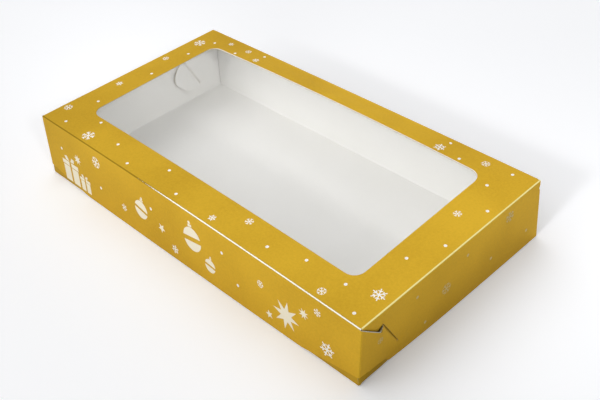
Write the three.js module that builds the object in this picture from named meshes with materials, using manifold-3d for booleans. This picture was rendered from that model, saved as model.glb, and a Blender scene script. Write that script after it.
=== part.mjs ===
// Hinged bakery box: a one-piece carton of folding boxboard, held at its corners by tongues in
// diagonal slits, with a clear film window glued under the lid.
// Millimetres, +Z up. The origin lies under the middle of the closed box. The front is at -Y,
// and the lid turns on the crease along the top of the back wall, at +Y.

import * as THREE from 'three';
import { mergeVertices } from 'three/addons/utils/BufferGeometryUtils.js';
import Module from 'manifold-3d';

const wasm = await Module();
wasm.setup();

// Closed box, over everything
const boxLength = 345;
const boxWidth = 182;
const boxHeight = 51;

// Sheet materials
const board = 0.5;
const filmThickness = 0.2;
const glueThickness = 0.1;

// Folds and fits
const foldRadius = 1.0;        // outside of a folded crease
const foldFacets = 2;          // pairs of facets round a fold
const creaseGap = 0.1;         // scored line between two panels
const layerGap = 0.3;          // air between boards that lie against each other
const bondGap = 0.1;           // either side of the line of glue
const floorGap = 0.5;          // between the lid's skirts and the table

// Window, as margins from the edges of the lid
const windowLeft = 27;
const windowRight = 32.4;
const windowFront = 28;
const windowBack = 21;
const windowCorner = 9;
const windowFacets = 6;
const filmLap = 9;             // film that lies under the lid all round the window
const glueMargin = 2;          // glue stays this far from the window and from the film's edge

// Corner locks. Out is measured along the end from the corner, and up from the bottom crease of
// the tray, or from the top crease of the lid, whose locks are upside down and a little smaller.
// A slit is bent: a short leg runs from the shoulder towards the crease, and a long one from
// that apex to the far end.
const trayShoulderOut = 20;    // foot of the flap's sloping edge, where the slit starts
const trayShoulderUp = 15;
const trayApexOut = 24.5;
const trayApexUp = 11.5;
const trayFarOut = 41;
const trayFarUp = 38.5;
const trayHeelOut = 27;        // corner between the flap's free edge and the slit
const lidShoulderOut = 16.6;
const lidShoulderUp = 14.7;
const lidApexOut = 20.5;
const lidApexUp = 12.2;
const lidFarOut = 34.7;
const lidFarUp = 37.3;
const lidHeelOut = 24;
const heelUp = 45.4;
const flapRelief = 1.2;        // where a flap's sloping edge leaves the corner
const flapDepth = 42.6;        // free edge at the corner
const tongueHook = 14;         // handles of the tongue's curve: the hook past the short leg
const tongueHookOut = 4;
const tongueTipBack = 4;       // and the tip beside the long leg
const tongueTipOut = 30;
const tongueFacets = 16;

// Lid skirts
const cornerCutLength = 50;    // front skirt's sloping lower corners
const cornerCutRise = 7.4;
const endNotchLength = 24;     // step in the lower front corner of an end skirt
const endNotchRise = 5;
const endNotchSlope = 4;
const rearGap = 0.5;           // end skirt short of the back
const reliefUp = 4;            // nick in the rear edge, below the crease
const reliefTall = 5;
const reliefDeep = 1;

// Looks
const goldBoard = { color: 0xc39a2b, roughness: 0.45, metalness: 0.35 };
const clearFilm = { color: 0xf4f6f6, roughness: 0.08, metalness: 0, transparent: true, opacity: 0.25 };
const driedGlue = { color: 0xe9e6da, roughness: 0.5, metalness: 0 };

// Each layer of board at an end lies one board and one gap further in: the lid's corner flap,
// its end skirt, its tongue, then the tray's corner flap, its end wall and its tongue
const layerPitch = board + layerGap;
const lidFlapPlane = boxLength / 2;
const lidEndPlane = lidFlapPlane - layerPitch;
const lidTonguePlane = lidEndPlane - layerPitch;
const trayFlapPlane = lidTonguePlane - layerPitch;
const trayEndPlane = trayFlapPlane - layerPitch;

// Front and back planes
const lidFrontPlane = boxWidth / 2;
const trayFrontPlane = lidFrontPlane - layerPitch;
const backPlane = boxWidth / 2;
const hingeLine = backPlane;

// What a fold and its scored line take from the panel beside them
const foldTake = foldRadius + creaseGap;

// Heights from the crease to the free edge
const wallHeight = boxHeight - board - layerGap;
const skirtDepth = boxHeight - floorGap;

const xAxis = new THREE.Vector3(1, 0, 0);
const yAxis = new THREE.Vector3(0, 1, 0);
const zAxis = new THREE.Vector3(0, 0, 1);

// A panel has its crease along X, its outside face at Y = 0 with the board at +Y, and its free
// edge up Z. One matrix draws a section in YZ along X, the other an outline in XZ through the board.
const sectionFrame = new THREE.Matrix4().makeBasis(yAxis, zAxis, xAxis);
const outlineFrame = new THREE.Matrix4().makeBasis(xAxis, zAxis, yAxis.clone().negate());

function extrude(shape, depth, curveSegments) {
  return new THREE.ExtrudeGeometry(shape, { depth, curveSegments, bevelEnabled: false });
}

// A closed geometry as a solid that can be joined and cut
function solid(geometry) {
  const bare = geometry.clone();
  bare.deleteAttribute('normal');
  bare.deleteAttribute('uv');
  const merged = mergeVertices(bare);
  return new wasm.Manifold(new wasm.Mesh({
    numProp: 3,
    vertProperties: new Float32Array(merged.attributes.position.array),
    triVerts: new Uint32Array(merged.index.array),
  }));
}

function geometryOf(body) {
  const { vertProperties, triVerts } = body.getMesh();
  const geometry = new THREE.BufferGeometry();
  geometry.setAttribute('position', new THREE.BufferAttribute(vertProperties, 3));
  geometry.setIndex(new THREE.BufferAttribute(triVerts, 1));
  geometry.computeVertexNormals();
  return geometry;
}

function namedMesh(name, body, look) {
  const mesh = new THREE.Mesh(geometryOf(body), new THREE.MeshStandardMaterial(look));
  mesh.name = name;
  return mesh;
}

// Board that leaves the neighbouring panel at the crease, turns a right angle and runs straight
function foldedSheet(oneEnd, otherEnd, reach) {
  const section = new THREE.Shape();
  section.moveTo(foldRadius, 0);
  section.absarc(foldRadius, foldRadius, foldRadius, -Math.PI / 2, -Math.PI, true);
  section.lineTo(0, reach);
  section.lineTo(board, reach);
  section.lineTo(board, foldRadius);
  section.absarc(foldRadius, foldRadius, foldRadius - board, -Math.PI, -Math.PI / 2, false);
  section.closePath();
  const geometry = extrude(section, Math.abs(otherEnd - oneEnd), foldFacets);
  geometry.applyMatrix4(sectionFrame);
  geometry.translate(Math.min(oneEnd, otherEnd), 0, 0);
  return solid(geometry);
}

// An outline in the panel's plane, drawn through from one depth to another
function throughBoard(outline, outer, inner, curveSegments = 1) {
  const geometry = extrude(outline, inner - outer, curveSegments);
  geometry.applyMatrix4(outlineFrame);
  geometry.translate(0, inner, 0);
  return solid(geometry);
}

// Cutters reach a board's thickness past both faces of the fold
function cutter(outline) {
  return throughBoard(outline, -board, foldRadius + board);
}

function flatPanel(outline, thickness, curveSegments) {
  return solid(extrude(outline, thickness, curveSegments));
}

function rectangle(path, left, front, right, back) {
  path.moveTo(left, front);
  path.lineTo(right, front);
  path.lineTo(right, back);
  path.lineTo(left, back);
  path.closePath();
  return path;
}

function roundedRectangle(path, left, front, right, back, radius) {
  path.moveTo(left + radius, front);
  path.absarc(right - radius, front + radius, radius, -Math.PI / 2, 0, false);
  path.absarc(right - radius, back - radius, radius, 0, Math.PI / 2, false);
  path.absarc(left + radius, back - radius, radius, Math.PI / 2, Math.PI, false);
  path.absarc(left + radius, front + radius, radius, Math.PI, Math.PI * 1.5, false);
  path.closePath();
  return path;
}

// Points of a lock are (out, up)
const trayLock = {
  shoulder: new THREE.Vector2(trayShoulderOut, trayShoulderUp),
  apex: new THREE.Vector2(trayApexOut, trayApexUp),
  far: new THREE.Vector2(trayFarOut, trayFarUp),
  heel: new THREE.Vector2(trayHeelOut, heelUp),
};
const lidLock = {
  shoulder: new THREE.Vector2(lidShoulderOut, lidShoulderUp),
  apex: new THREE.Vector2(lidApexOut, lidApexUp),
  far: new THREE.Vector2(lidFarOut, lidFarUp),
  heel: new THREE.Vector2(lidHeelOut, heelUp),
};

// Along a leg from its start, and aside to the tongue's side of it
function besideLeg(start, end, along, aside) {
  const way = end.clone().sub(start).normalize();
  const side = new THREE.Vector2(way.y, -way.x);
  return start.clone().addScaledVector(way, along).addScaledVector(side, aside);
}

// A strip along one leg of a slit, which runs past the apex by half its width
function legStrip(place, freeEnd, apex, freeGap, halfWidth) {
  const past = freeEnd.distanceTo(apex) + halfWidth;
  return new THREE.Shape([
    place(besideLeg(freeEnd, apex, freeGap, -halfWidth)),
    place(besideLeg(freeEnd, apex, past, -halfWidth)),
    place(besideLeg(freeEnd, apex, past, halfWidth)),
    place(besideLeg(freeEnd, apex, freeGap, halfWidth)),
  ]);
}

// The cut in an end panel, a little wider and longer than the board that passes through it
function slitCutter({ shoulder, apex, far }, place) {
  const halfWidth = board / 2 + layerGap;
  const shortLeg = cutter(legStrip(place, shoulder, apex, 0, halfWidth));
  return shortLeg.add(cutter(legStrip(place, far, apex, 0, halfWidth)));
}

// A corner flap turns round the corner, lies on the end panel, and dives through both legs of the
// slit into a hooked tongue behind it. Side is the way of its crease: up is at side * X, out along Z.
function cornerFlap({ shoulder, apex, far, heel }, side) {
  const place = (point) => new THREE.Vector2(side * point.y, point.x);
  const outline = new THREE.Shape([
    place(new THREE.Vector2(-board, flapRelief)),
    place(new THREE.Vector2(foldRadius, flapRelief)),
    place(shoulder),
    place(apex),
    place(far),
    place(heel),
    place(new THREE.Vector2(foldRadius, flapDepth)),
    place(new THREE.Vector2(-board, flapDepth)),
  ]);
  const reach = Math.max(shoulder.x, apex.x, far.x, heel.x) + board;
  const plate = foldedSheet(0, side * boxHeight, reach).intersect(cutter(outline));

  const tongueFace = 2 * layerPitch;
  const neckLeg = (freeEnd) => throughBoard(
    legStrip(place, freeEnd, apex, layerGap, board / 2),
    0,
    tongueFace + board,
  );

  const slitLength = far.distanceTo(apex);
  const hook = place(besideLeg(apex, far, -tongueHook, tongueHookOut));
  const tip = place(besideLeg(apex, far, slitLength - tongueTipBack, tongueTipOut));
  const root = place(besideLeg(shoulder, apex, layerGap, 0));
  const bend = place(apex);
  const end = place(besideLeg(apex, far, slitLength - layerGap, 0));
  const tongue = new THREE.Shape();
  tongue.moveTo(root.x, root.y);
  tongue.bezierCurveTo(hook.x, hook.y, tip.x, tip.y, end.x, end.y);
  tongue.lineTo(bend.x, bend.y);
  tongue.closePath();
  const tongueSheet = throughBoard(tongue, tongueFace, tongueFace + board, tongueFacets);

  return plate.add(neckLeg(shoulder)).add(neckLeg(far)).add(tongueSheet);
}

// Panels stand on the frame of their tray or lid: turn is the angle about Z that faces them out
function stand(parent, mesh, x, y, turn) {
  mesh.position.set(x, y, 0);
  mesh.rotation.z = turn;
  parent.add(mesh);
}

// A flap's crease stands upright at a corner, so its panel is turned to lie on the end
function standFlap(parent, mesh, x, y) {
  const inward = xAxis.clone().multiplyScalar(-Math.sign(x));
  const outAlong = yAxis.clone().multiplyScalar(-Math.sign(y));
  const upright = inward.clone().cross(outAlong);
  mesh.setRotationFromMatrix(new THREE.Matrix4().makeBasis(upright, inward, outAlong));
  mesh.position.set(x, y, 0);
  parent.add(mesh);
}

// The crease of a flap at this corner points up or down
function flapSide(x, y) {
  return Math.sign(x) * Math.sign(y);
}

const quarterTurn = Math.PI / 2;
const ends = [
  { name: 'right', way: 1 },
  { name: 'left', way: -1 },
];

function makeTray() {
  const tray = new THREE.Group();

  const panel = rectangle(
    new THREE.Shape(),
    -(trayEndPlane - foldTake),
    -(trayFrontPlane - foldTake),
    trayEndPlane - foldTake,
    backPlane - foldTake,
  );
  tray.add(namedMesh('base_panel', flatPanel(panel, board), goldBoard));

  const wallHalf = trayFlapPlane - foldTake;
  const frontWall = foldedSheet(-wallHalf, wallHalf, wallHeight);
  const backWall = foldedSheet(-wallHalf, wallHalf, wallHeight);
  stand(tray, namedMesh('front_wall', frontWall, goldBoard), 0, -trayFrontPlane, 0);
  stand(tray, namedMesh('back_wall', backWall, goldBoard), 0, backPlane, Math.PI);

  for (const { name, way } of ends) {
    // Along an end wall, X runs to the back on the right and to the front on the left
    const frontEnd = -way * (trayFrontPlane - foldTake);
    const backEnd = way * (backPlane - foldTake);
    const nearFront = (point) => new THREE.Vector2(way * (point.x - trayFrontPlane), point.y);
    const nearBack = (point) => new THREE.Vector2(way * (backPlane - point.x), point.y);
    const wall = foldedSheet(frontEnd, backEnd, wallHeight)
      .subtract(slitCutter(trayLock, nearFront))
      .subtract(slitCutter(trayLock, nearBack));
    const wallMesh = namedMesh(`${name}_end_wall`, wall, goldBoard);
    stand(tray, wallMesh, way * trayEndPlane, 0, way * quarterTurn);

    const corners = [
      { corner: 'front', y: -trayFrontPlane },
      { corner: 'back', y: backPlane },
    ];
    for (const { corner, y } of corners) {
      const x = way * trayFlapPlane;
      const flap = cornerFlap(trayLock, flapSide(x, y));
      standFlap(tray, namedMesh(`${corner}_${name}_corner_flap`, flap, goldBoard), x, y);
    }
  }
  return tray;
}

// The lid is a shallow tray upside down, with no back wall: here up means down from its top face
function makeLid() {
  const lid = new THREE.Group();
  lid.position.z = boxHeight;
  lid.rotation.y = Math.PI;

  // Upside down, the lid's right end lies at -X
  const window = {
    left: -(lidFlapPlane - windowRight),
    right: lidFlapPlane - windowLeft,
    front: -(lidFrontPlane - windowFront),
    back: backPlane - windowBack,
  };
  const windowRing = (path, grow) => roundedRectangle(
    path,
    window.left - grow,
    window.front - grow,
    window.right + grow,
    window.back + grow,
    windowCorner + grow,
  );

  const panel = rectangle(
    new THREE.Shape(),
    -(lidEndPlane - foldTake),
    -(lidFrontPlane - foldTake),
    lidEndPlane - foldTake,
    hingeLine,
  );
  panel.holes.push(windowRing(new THREE.Path(), 0));
  lid.add(namedMesh('lid_panel', flatPanel(panel, board, windowFacets), goldBoard));

  const glueRing = windowRing(new THREE.Shape(), filmLap - glueMargin);
  glueRing.holes.push(windowRing(new THREE.Path(), glueMargin));
  const glue = namedMesh('window_glue', flatPanel(glueRing, glueThickness, windowFacets), driedGlue);
  glue.position.z = board + bondGap;
  lid.add(glue);

  const filmSheet = rectangle(
    new THREE.Shape(),
    window.left - filmLap,
    window.front - filmLap,
    window.right + filmLap,
    window.back + filmLap,
  );
  const film = namedMesh('window_film', flatPanel(filmSheet, filmThickness), clearFilm);
  film.position.z = glue.position.z + glueThickness + bondGap;
  lid.add(film);

  const skirtHalf = lidFlapPlane - foldTake;
  const frontOutline = new THREE.Shape([
    new THREE.Vector2(-skirtHalf, -board),
    new THREE.Vector2(skirtHalf, -board),
    new THREE.Vector2(skirtHalf, skirtDepth - cornerCutRise),
    new THREE.Vector2(skirtHalf - cornerCutLength, skirtDepth),
    new THREE.Vector2(-skirtHalf + cornerCutLength, skirtDepth),
    new THREE.Vector2(-skirtHalf, skirtDepth - cornerCutRise),
  ]);
  const frontSkirt = foldedSheet(-skirtHalf, skirtHalf, skirtDepth).intersect(cutter(frontOutline));
  stand(lid, namedMesh('lid_front_skirt', frontSkirt, goldBoard), 0, -lidFrontPlane, 0);

  for (const { name, way } of ends) {
    const lidWay = -way;
    const along = (y, up) => new THREE.Vector2(lidWay * y, up);
    const front = -(lidFrontPlane - foldTake);
    const rear = hingeLine - rearGap;
    const outline = new THREE.Shape([
      along(front, -board),
      along(rear, -board),
      along(rear, reliefUp),
      along(rear - reliefDeep, reliefUp + reliefTall / 2),
      along(rear, reliefUp + reliefTall),
      along(rear, skirtDepth),
      along(endNotchLength + endNotchSlope - lidFrontPlane, skirtDepth),
      along(endNotchLength - lidFrontPlane, skirtDepth - endNotchRise),
      along(front, skirtDepth - endNotchRise),
    ]);
    const nearFront = (point) => along(point.x - lidFrontPlane, point.y);
    const skirt = foldedSheet(lidWay * front, lidWay * rear, skirtDepth)
      .intersect(cutter(outline))
      .subtract(slitCutter(lidLock, nearFront));
    const skirtMesh = namedMesh(`lid_${name}_skirt`, skirt, goldBoard);
    stand(lid, skirtMesh, lidWay * lidEndPlane, 0, lidWay * quarterTurn);

    const x = lidWay * lidFlapPlane;
    const flap = cornerFlap(lidLock, flapSide(x, -lidFrontPlane));
    standFlap(lid, namedMesh(`lid_${name}_corner_flap`, flap, goldBoard), x, -lidFrontPlane);
  }
  return lid;
}

const bakeryBox = new THREE.Group();
bakeryBox.add(makeTray());
bakeryBox.add(makeLid());

export default bakeryBox;
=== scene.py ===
# Bakery box of folded gold board, with tongue-and-slit corner locks and a film window in its lid
import math

import bmesh
import bpy
from mathutils import Matrix, Vector
from mathutils.geometry import interpolate_bezier


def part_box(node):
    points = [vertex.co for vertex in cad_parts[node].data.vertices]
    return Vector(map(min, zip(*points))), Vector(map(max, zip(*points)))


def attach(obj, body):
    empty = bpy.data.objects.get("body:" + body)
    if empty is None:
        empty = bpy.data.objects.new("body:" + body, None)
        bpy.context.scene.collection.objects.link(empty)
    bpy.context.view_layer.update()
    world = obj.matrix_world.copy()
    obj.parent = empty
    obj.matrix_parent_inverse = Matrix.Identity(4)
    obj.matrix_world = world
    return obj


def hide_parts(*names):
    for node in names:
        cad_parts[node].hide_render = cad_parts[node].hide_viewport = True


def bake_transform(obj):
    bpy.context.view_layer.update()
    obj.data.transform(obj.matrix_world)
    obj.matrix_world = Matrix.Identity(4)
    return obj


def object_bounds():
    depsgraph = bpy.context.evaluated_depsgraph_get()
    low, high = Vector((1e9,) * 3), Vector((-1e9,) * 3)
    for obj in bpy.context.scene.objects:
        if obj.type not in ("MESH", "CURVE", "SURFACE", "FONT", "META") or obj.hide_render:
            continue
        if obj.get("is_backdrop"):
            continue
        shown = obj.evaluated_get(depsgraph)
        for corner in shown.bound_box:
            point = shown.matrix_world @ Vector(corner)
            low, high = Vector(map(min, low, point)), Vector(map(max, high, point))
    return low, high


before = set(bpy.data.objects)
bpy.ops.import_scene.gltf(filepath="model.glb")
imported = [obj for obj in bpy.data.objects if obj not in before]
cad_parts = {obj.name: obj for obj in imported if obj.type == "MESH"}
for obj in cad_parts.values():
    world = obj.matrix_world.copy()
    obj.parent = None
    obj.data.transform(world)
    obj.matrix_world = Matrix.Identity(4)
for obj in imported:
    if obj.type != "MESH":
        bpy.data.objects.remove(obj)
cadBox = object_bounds()
mm = 0.001
print("frame:", len(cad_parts), "nodes")


# Planes of the carton, read from the frame: outer faces, in metres
def lowest(node):
    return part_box(node)[0]


def highest(node):
    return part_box(node)[1]


lidTop = highest("lid_panel").z
lidFront = lowest("lid_front_skirt").y
lidEnd = highest("lid_right_skirt").x
lidFlap = highest("lid_right_corner_flap").x
hingeLine = highest("lid_panel").y
skirtFoot = lowest("lid_front_skirt").z
skirtRear = highest("lid_right_skirt").y
trayFront = lowest("front_wall").y
trayEnd = highest("right_end_wall").x
trayFlap = highest("front_right_corner_flap").x
wallTop = highest("front_wall").z
board = highest("base_panel").z
layerStep = lidFlap - lidEnd
skirtDepth = lidTop - skirtFoot

acrossX = Vector((1, 0, 0))
acrossY = Vector((0, 1, 0))
upZ = Vector((0, 0, 1))


def smoothStep(t):
    t = min(max(t, 0), 1)
    return t * t * (3 - 2 * t)


# Colours are written as sRGB hex and used as linear
def linear(hexCode):
    channels = [int(hexCode[i:i + 2], 16) / 255 for i in (1, 3, 5)]
    return [c / 12.92 if c <= 0.04045 else ((c + 0.055) / 1.055) ** 2.4 for c in channels] + [1]


# Materials: one function adds a node with its values, links and settings
def addNode(tree, kind, values=None, links=None, **settings):
    node = tree.nodes.new(kind)
    for name, value in settings.items():
        setattr(node, name, value)
    for socket, value in (values or {}).items():
        node.inputs[socket].default_value = value
    for socket, source in (links or {}).items():
        tree.links.new(source, node.inputs[socket])
    return node


def newMaterial(name):
    material = bpy.data.materials.new(name)
    material.use_nodes = True
    tree = material.node_tree
    tree.nodes.clear()
    output = addNode(tree, "ShaderNodeOutputMaterial")
    place = addNode(tree, "ShaderNodeTexCoord").outputs["Object"]
    return material, tree, output.inputs["Surface"], place


# Scale of a noise whose blots are about this many millimetres across
def blotScale(size):
    return 1 / (size * mm)


goldValues = {
    "deep": "#C59C28", "bright": "#DAB032", "bare": "#FFFBEA", "paintedHighlight": "#FFF4A8",
    "paintedShade": "#7D6216", "tint": "#F8E8BE",
    "cloud": 70, "mottle": 1.6, "mottleShare": 0.4, "inkFrom": 0.35, "inkTo": 0.65,
    "crack": 0.9, "crackSpread": 0.55, "crackAndGlintFrom": 0.72, "crackAndGlintTo": 0.92,
    "highlightFrom": -0.25, "highlightTo": -0.75, "shadeFrom": 0.05, "shadeTo": 0.25, "shadeMost": 0.8,
    "metallic": 0.64, "roughness": 0.42, "sheenSpread": 0.05, "bareRoughness": 0.7, "specular": 0.1,
    "tooth": 0.7, "toothHeight": 0.03 * mm, "toothStrength": 0.12,
}


# Satin metallic gold ink on coated boxboard: a soft even sheen, faint clouds and mottle in the ink
# film, painted shade that darkens it on the tray's outside and along the ridge of some folds, white
# board where the ink has cracked along a fold, which on the front crease also stands in for the fold's
# highlight, and a pale yellow painted highlight along the end creases. The mottle and the tooth are
# coarser than real ones, to show
def goldPrint():
    v = goldValues
    material, tree, surface, place = newMaterial("gold_printed_boxboard")
    cloud = addNode(tree, "ShaderNodeTexNoise", {"Scale": blotScale(v["cloud"])}, {"Vector": place})
    mottle = addNode(tree, "ShaderNodeTexNoise",
                     {"Scale": blotScale(v["mottle"]), "Detail": 4.0, "Roughness": 0.65}, {"Vector": place})
    blend = addNode(tree, "ShaderNodeMix", {"Factor": v["mottleShare"]},
                    {"A": cloud.outputs["Fac"], "B": mottle.outputs["Fac"]})
    ink = addNode(tree, "ShaderNodeMapRange", {"From Min": v["inkFrom"], "From Max": v["inkTo"]},
                  {"Value": blend.outputs[0]})
    gold = addNode(tree, "ShaderNodeMix", {6: linear(v["deep"]), 7: linear(v["bright"])},
                   {"Factor": ink.outputs[0]}, data_type="RGBA")
    # One number per point carries cracks and broken edges, and also painted shade and painted highlight
    wearAndLight = addNode(tree, "ShaderNodeAttribute", attribute_name="wearAndLight")
    flakes = addNode(tree, "ShaderNodeTexNoise", {"Scale": blotScale(v["crack"]), "Roughness": 0.6},
                     {"Vector": place})
    wornAndLit = addNode(tree, "ShaderNodeMath", {1: v["crackSpread"]},
                   {0: flakes.outputs["Fac"], 2: wearAndLight.outputs["Fac"]}, operation="MULTIPLY_ADD")
    # Cracked ink shows white board; on the front crease this white also stands in for the fold's painted
    # highlight
    crackedAndGlinting = addNode(tree, "ShaderNodeMapRange", {"From Min": v["crackAndGlintFrom"], "From Max": v["crackAndGlintTo"]},
                      {"Value": wornAndLit.outputs[0]}, interpolation_type="SMOOTHSTEP")
    # Painted highlight: below 0 the gold turns pale yellow along the ridge of the lid's end creases
    paintedHighlight = addNode(tree, "ShaderNodeMapRange", {"From Min": v["highlightFrom"], "From Max": v["highlightTo"]},
                     {"Value": wearAndLight.outputs["Fac"]}, interpolation_type="SMOOTHSTEP")
    # Painted shade: a little above 0 the gold is darkened, on the tray's outside and along the ridge of some
    # folds
    shadeMask = addNode(tree, "ShaderNodeMapRange",
                      {"From Min": v["shadeFrom"], "From Max": v["shadeTo"], "To Max": v["shadeMost"]},
                      {"Value": wearAndLight.outputs["Fac"]})
    shaded = addNode(tree, "ShaderNodeMix", {7: linear(v["paintedShade"])},
                     {"Factor": shadeMask.outputs[0], 6: gold.outputs[2]}, data_type="RGBA")
    highlighted = addNode(tree, "ShaderNodeMix", {7: linear(v["paintedHighlight"])},
                       {"Factor": paintedHighlight.outputs[0], 6: shaded.outputs[2]}, data_type="RGBA")
    colour = addNode(tree, "ShaderNodeMix", {7: linear(v["bare"])},
                     {"Factor": crackedAndGlinting.outputs[0], 6: highlighted.outputs[2]}, data_type="RGBA")
    metallic = addNode(tree, "ShaderNodeMapRange", {"To Min": v["metallic"], "To Max": 0.0},
                       {"Value": crackedAndGlinting.outputs[0]})
    sheenLow, sheenHigh = v["roughness"] - v["sheenSpread"], v["roughness"] + v["sheenSpread"]
    sheen = addNode(tree, "ShaderNodeMapRange", {"To Min": sheenLow, "To Max": sheenHigh},
                    {"Value": mottle.outputs["Fac"]})
    rough = addNode(tree, "ShaderNodeMix", {"B": v["bareRoughness"]},
                    {"Factor": crackedAndGlinting.outputs[0], "A": sheen.outputs[0]})
    tooth = addNode(tree, "ShaderNodeTexNoise", {"Scale": blotScale(v["tooth"]), "Detail": 3.0},
                    {"Vector": place})
    bump = addNode(tree, "ShaderNodeBump", {"Strength": v["toothStrength"], "Distance": v["toothHeight"]},
                   {"Height": tooth.outputs["Fac"]})
    shader = addNode(tree, "ShaderNodeBsdfPrincipled",
                     {"Specular IOR Level": v["specular"], "Specular Tint": linear(v["tint"])},
                     {"Base Color": colour.outputs[2], "Metallic": metallic.outputs[0],
                      "Roughness": rough.outputs[0], "Normal": bump.outputs[0]})
    tree.links.new(shader.outputs[0], surface)
    return material


whiteValues = {
    "pulp": "#F6F5F2", "shade": "#F2F1ED", "fold": "#E2DFD6",
    "cloud": 40, "fibre": 0.8, "fibreShare": 0.5, "pulpFrom": 0.35, "pulpTo": 0.65,
    "foldFrom": 0.2, "foldTo": 0.9, "foldMost": 0.7,
    "roughness": 0.85, "specular": 0.3, "fibreHeight": 0.04 * mm, "fibreStrength": 0.2,
}


# Uncoated white back of the boxboard: matt, a little warm, with a scored line at a fold and short
# fibres, which are coarser than real ones, to show
def whiteBoard():
    v = whiteValues
    material, tree, surface, place = newMaterial("white_uncoated_boxboard")
    cloud = addNode(tree, "ShaderNodeTexNoise", {"Scale": blotScale(v["cloud"])}, {"Vector": place})
    fibre = addNode(tree, "ShaderNodeTexNoise",
                    {"Scale": blotScale(v["fibre"]), "Detail": 4.0, "Roughness": 0.7}, {"Vector": place})
    blend = addNode(tree, "ShaderNodeMix", {"Factor": v["fibreShare"]},
                    {"A": cloud.outputs["Fac"], "B": fibre.outputs["Fac"]})
    soft = addNode(tree, "ShaderNodeMapRange", {"From Min": v["pulpFrom"], "From Max": v["pulpTo"]},
                   {"Value": blend.outputs[0]})
    pulp = addNode(tree, "ShaderNodeMix", {6: linear(v["shade"]), 7: linear(v["pulp"])},
                   {"Factor": soft.outputs[0]}, data_type="RGBA")
    wearAndLight = addNode(tree, "ShaderNodeAttribute", attribute_name="wearAndLight")
    line = addNode(tree, "ShaderNodeMapRange",
                   {"From Min": v["foldFrom"], "From Max": v["foldTo"], "To Max": v["foldMost"]},
                   {"Value": wearAndLight.outputs["Fac"]})
    colour = addNode(tree, "ShaderNodeMix", {7: linear(v["fold"])},
                     {"Factor": line.outputs[0], 6: pulp.outputs[2]}, data_type="RGBA")
    bump = addNode(tree, "ShaderNodeBump", {"Strength": v["fibreStrength"], "Distance": v["fibreHeight"]},
                   {"Height": fibre.outputs["Fac"]})
    shader = addNode(tree, "ShaderNodeBsdfPrincipled",
                     {"Roughness": v["roughness"], "Specular IOR Level": v["specular"]},
                     {"Base Color": colour.outputs[2], "Normal": bump.outputs[0]})
    tree.links.new(shader.outputs[0], surface)
    return material


edgeValues = {
    "pulp": "#DDD2B4", "grey": "#BDAF88", "ply": 0.25, "plyHeight": 0.05 * mm, "plyStrength": 0.3,
    "roughness": 0.9, "specular": 0.2,
}


# Die-cut edge of the board: pale layered pulp
def rawEdge():
    v = edgeValues
    material, tree, surface, place = newMaterial("die_cut_board_edge")
    ply = addNode(tree, "ShaderNodeTexNoise",
                  {"Scale": blotScale(v["ply"]), "Detail": 3.0, "Roughness": 0.7}, {"Vector": place})
    colour = addNode(tree, "ShaderNodeMix", {6: linear(v["grey"]), 7: linear(v["pulp"])},
                     {"Factor": ply.outputs["Fac"]}, data_type="RGBA")
    bump = addNode(tree, "ShaderNodeBump", {"Strength": v["plyStrength"], "Distance": v["plyHeight"]},
                   {"Height": ply.outputs["Fac"]})
    shader = addNode(tree, "ShaderNodeBsdfPrincipled",
                     {"Roughness": v["roughness"], "Specular IOR Level": v["specular"]},
                     {"Base Color": colour.outputs[2], "Normal": bump.outputs[0]})
    tree.links.new(shader.outputs[0], surface)
    return material


filmValues = {
    "straight": 0.032, "lowAngle": 5.0, "haze": 0.018, "tint": "#FFFFFF", "roughness": 0.05,
    "ripple": 28, "rippleHeight": 0.4 * mm, "rippleStrength": 0.1,
}


# Clear polyester film: sharp reflections that strengthen at a low angle, over a faint milky haze
def clearFilm():
    v = filmValues
    material, tree, surface, place = newMaterial("clear_polyester_film")
    ripple = addNode(tree, "ShaderNodeTexNoise", {"Scale": blotScale(v["ripple"]), "Detail": 1.0},
                     {"Vector": place})
    bump = addNode(tree, "ShaderNodeBump", {"Strength": v["rippleStrength"], "Distance": v["rippleHeight"]},
                   {"Height": ripple.outputs["Fac"]})
    clear = addNode(tree, "ShaderNodeBsdfTransparent", {"Color": linear("#FFFFFF")})
    gloss = addNode(tree, "ShaderNodeBsdfPrincipled",
                    {"Base Color": linear(v["tint"]), "Roughness": v["roughness"], "Metallic": 1.0},
                    {"Normal": bump.outputs[0]})
    facing = addNode(tree, "ShaderNodeLayerWeight", {"Blend": 0.5}, {"Normal": bump.outputs[0]})
    low = addNode(tree, "ShaderNodeMath", {1: v["lowAngle"]}, {0: facing.outputs["Facing"]},
                  operation="POWER")
    share = addNode(tree, "ShaderNodeMath", {1: 1 - v["straight"], 2: v["straight"]}, {0: low.outputs[0]},
                    operation="MULTIPLY_ADD")
    mirror = addNode(tree, "ShaderNodeMixShader", None,
                     {0: share.outputs[0], 1: clear.outputs[0], 2: gloss.outputs[0]})
    milk = addNode(tree, "ShaderNodeBsdfDiffuse", {"Color": linear(v["tint"])})
    mixed = addNode(tree, "ShaderNodeMixShader", {0: v["haze"]}, {1: mirror.outputs[0], 2: milk.outputs[0]})
    tree.links.new(mixed.outputs[0], surface)
    return material


glueValues = {"resin": "#EFEBDD", "streak": 3.0, "cover": 0.35, "coverSpread": 0.15, "roughness": 0.35}


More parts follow.
